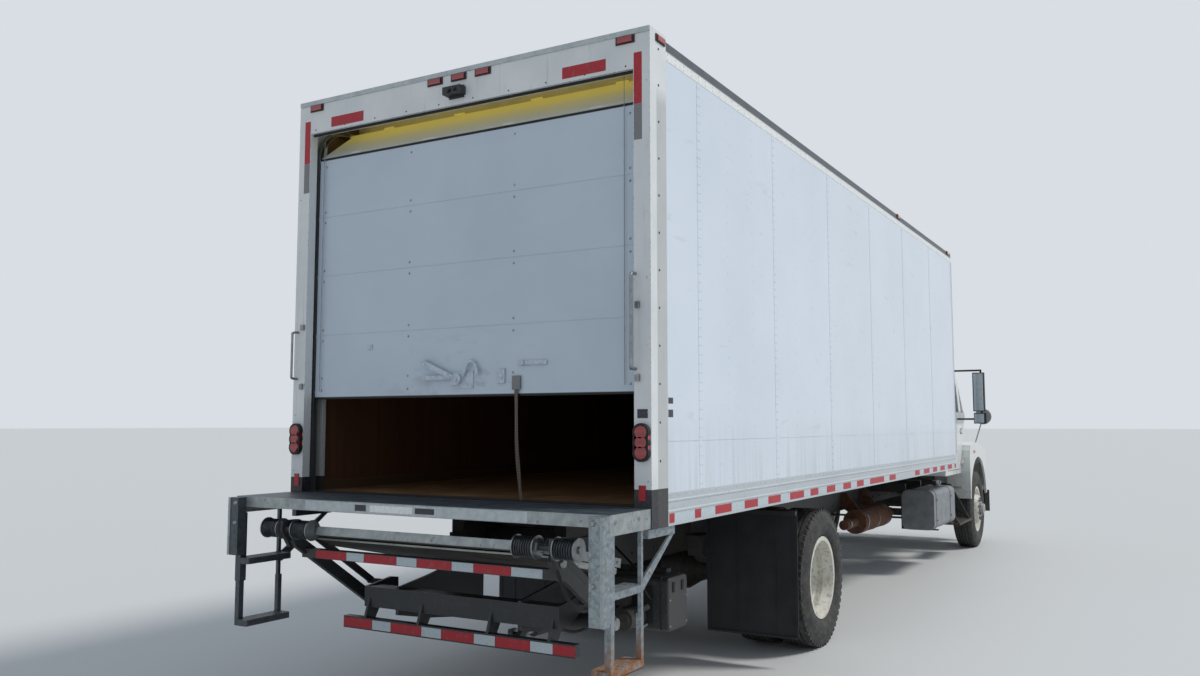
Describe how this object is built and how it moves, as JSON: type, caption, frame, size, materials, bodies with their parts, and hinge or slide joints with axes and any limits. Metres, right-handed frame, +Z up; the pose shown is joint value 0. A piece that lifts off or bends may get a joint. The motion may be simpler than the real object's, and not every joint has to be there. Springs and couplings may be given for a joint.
{
  "type": "box truck",
  "caption": "Medium-duty box truck with a van body, part-open roll-up door, tuck-under lift, steered front wheels, dual rear wheels, opening cab doors and tilting hood.",
  "frame": {"origin": "on the ground under the centre of the overall box", "axes": "+X forward, +Y to the left, +Z up"},
  "size_m": [11.642, 2.92, 3.8],
  "materials": {
    "chassis_black": "satin",
    "cab_white": "gloss",
    "body_white": "satin",
    "rail_aluminium": "satin",
    "door_white": "satin",
    "wheel_white": "satin",
    "tyre_black": "matte",
    "window_glass": "gloss",
    "lamp_red": "gloss",
    "lamp_clear": "gloss",
    "steel_bare": "satin",
    "lift_grey": "satin",
    "platform_alloy": "satin",
    "floor_wood": "matte",
    "roof_sheet": "satin",
    "black_plastic": "matte",
    "seat_cloth": "matte",
    "flap_rubber": "matte",
    "engine_iron": "matte",
    "exhaust_rust": "matte",
    "tank_alloy": "satin",
    "strap_web": "matte"
  },
  "bodies": {
    "chassis": {"frame_rails": "chassis_black", "frame_fittings": "chassis_black", "leaf_springs": "chassis_black", "front_axle": "chassis_black", "rear_axle": "chassis_black", "drive_shaft": "steel_bare", "engine_block": "engine_iron", "radiator": "chassis_black", "cab_shell": "cab_white", "cab_floor_pan": "cab_white", "cab_glass": "window_glass", "dashboard": "black_plastic", "seats": "seat_cloth", "front_bumper": "chassis_black", "fuel_tank": "tank_alloy", "cab_steps": "chassis_black", "exhaust": "exhaust_rust", "mud_flaps": "flap_rubber", "body_subframe": "steel_bare", "body_sills": "chassis_black", "load_floor": "floor_wood", "body_rails": "rail_aluminium", "body_walls": "body_white", "roof": "roof_sheet", "rear_frame": "door_white", "rollup_door": "door_white", "door_fittings": "steel_bare", "pull_strap": "strap_web", "rear_lamps": "lamp_red", "bed_extension": "platform_alloy", "lift_steps": "lift_grey", "lift_frame": "lift_grey", "pump_box": "lift_grey"},
    "knuckle_left": {"knuckle_left": "chassis_black"},
    "knuckle_right": {"knuckle_right": "chassis_black"},
    "tie_rod": {"tie_rod": "chassis_black"},
    "wheel_front_left": {"wheel_front_left": "wheel_white", "tyre_front_left": "tyre_black"},
    "wheel_front_right": {"wheel_front_right": "wheel_white", "tyre_front_right": "tyre_black"},
    "wheels_rear_left": {"wheels_rear_left": "wheel_white", "tyres_rear_left": "tyre_black"},
    "wheels_rear_right": {"wheels_rear_right": "wheel_white", "tyres_rear_right": "tyre_black"},
    "cab_door_left": {"cab_door_left": "cab_white", "door_glass_left": "window_glass", "door_mirror_left": "black_plastic"},
    "cab_door_right": {"cab_door_right": "cab_white", "door_glass_right": "window_glass", "door_mirror_right": "black_plastic"},
    "hood": {"hood": "cab_white", "grille": "black_plastic", "headlamps": "lamp_clear", "hood_mirrors": "steel_bare"},
    "lift_arms": {"lift_arms": "lift_grey"},
    "link_arms": {"link_arms": "lift_grey"},
    "lift_shackles": {"lift_shackles": "lift_grey"},
    "lift_platform": {"lift_platform": "platform_alloy", "flip_over": "platform_alloy"},
    "lift_rod": {"lift_rod": "steel_bare"}
  },
  "joints": [
    {"name": "steer_left", "type": "hinge", "parent": "chassis", "child": "knuckle_left", "pos_m": [4.821, 0.85, 0.52], "axis": [0, 0, 1], "range_deg": [-35, 35]},
    {"name": "steer_right", "type": "hinge", "parent": "chassis", "child": "knuckle_right", "pos_m": [4.821, -0.85, 0.52], "axis": [0, 0, 1], "range_deg": [-35, 35]},
    {"name": "tie_rod_level", "type": "hinge", "parent": "knuckle_left", "child": "tie_rod", "pos_m": [4.641, 0.85, 0.367], "axis": [0, 0, 1], "range_deg": [-35, 35]},
    {"name": "front_wheel_spin_left", "type": "hinge", "parent": "knuckle_left", "child": "wheel_front_left", "pos_m": [4.821, 1.04, 0.52], "axis": [0, 1, 0], "continuous": true},
    {"name": "front_wheel_spin_right", "type": "hinge", "parent": "knuckle_right", "child": "wheel_front_right", "pos_m": [4.821, -1.04, 0.52], "axis": [0, 1, 0], "continuous": true},
    {"name": "rear_wheel_spin_left", "type": "hinge", "parent": "chassis", "child": "wheels_rear_left", "pos_m": [-2.319, 0.93, 0.52], "axis": [0, 1, 0], "continuous": true},
    {"name": "rear_wheel_spin_right", "type": "hinge", "parent": "chassis", "child": "wheels_rear_right", "pos_m": [-2.319, -0.93, 0.52], "axis": [0, 1, 0], "continuous": true},
    {"name": "door_open_left", "type": "hinge", "parent": "chassis", "child": "cab_door_left", "pos_m": [4.166, 1.101, 1.6], "axis": [0, 0, -1], "range_deg": [0, 70]},
    {"name": "door_open_right", "type": "hinge", "parent": "chassis", "child": "cab_door_right", "pos_m": [4.166, -1.101, 1.6], "axis": [0, 0, 1], "range_deg": [0, 70]},
    {"name": "hood_tilt", "type": "hinge", "parent": "chassis", "child": "hood", "pos_m": [5.661, 0, 0.8], "axis": [0, 1, 0], "range_deg": [0, 75]},
    {"name": "lift_swing", "type": "hinge", "parent": "chassis", "child": "lift_arms", "pos_m": [-5.041, 0, 0.6], "axis": [0, -1, 0], "range_deg": [0, 81]},
    {"name": "link_swing", "type": "hinge", "parent": "chassis", "child": "link_arms", "pos_m": [-5.041, 0, 0.7], "axis": [0, -1, 0], "range_deg": [0, 81]},
    {"name": "shackle_level", "type": "hinge", "parent": "lift_arms", "child": "lift_shackles", "pos_m": [-5.641, 0, 1], "axis": [0, -1, 0], "range_deg": [-81, 0]},
    {"name": "platform_lean", "type": "hinge", "parent": "lift_shackles", "child": "lift_platform", "pos_m": [-5.701, 0, 1.08], "axis": [0, -1, 0], "range_deg": [0, 85.1]},
    {"name": "rod_slide", "type": "slide", "parent": "chassis", "child": "lift_rod", "axis": [1, 0, 0], "range_m": [0, 0.17]}
  ],
  "couplings": [
    {"joint": "steer_right", "follows": "steer_left", "ratio": 1},
    {"joint": "tie_rod_level", "follows": "steer_left", "ratio": -1},
    {"joint": "link_swing", "follows": "lift_swing", "ratio": 1},
    {"joint": "shackle_level", "follows": "lift_swing", "ratio": -1},
    {"joint": "platform_lean", "follows": "lift_swing", "ratio": 1.05},
    {"joint": "rod_slide", "follows": "lift_swing", "m_per_rad": 0.1195}
  ]
}
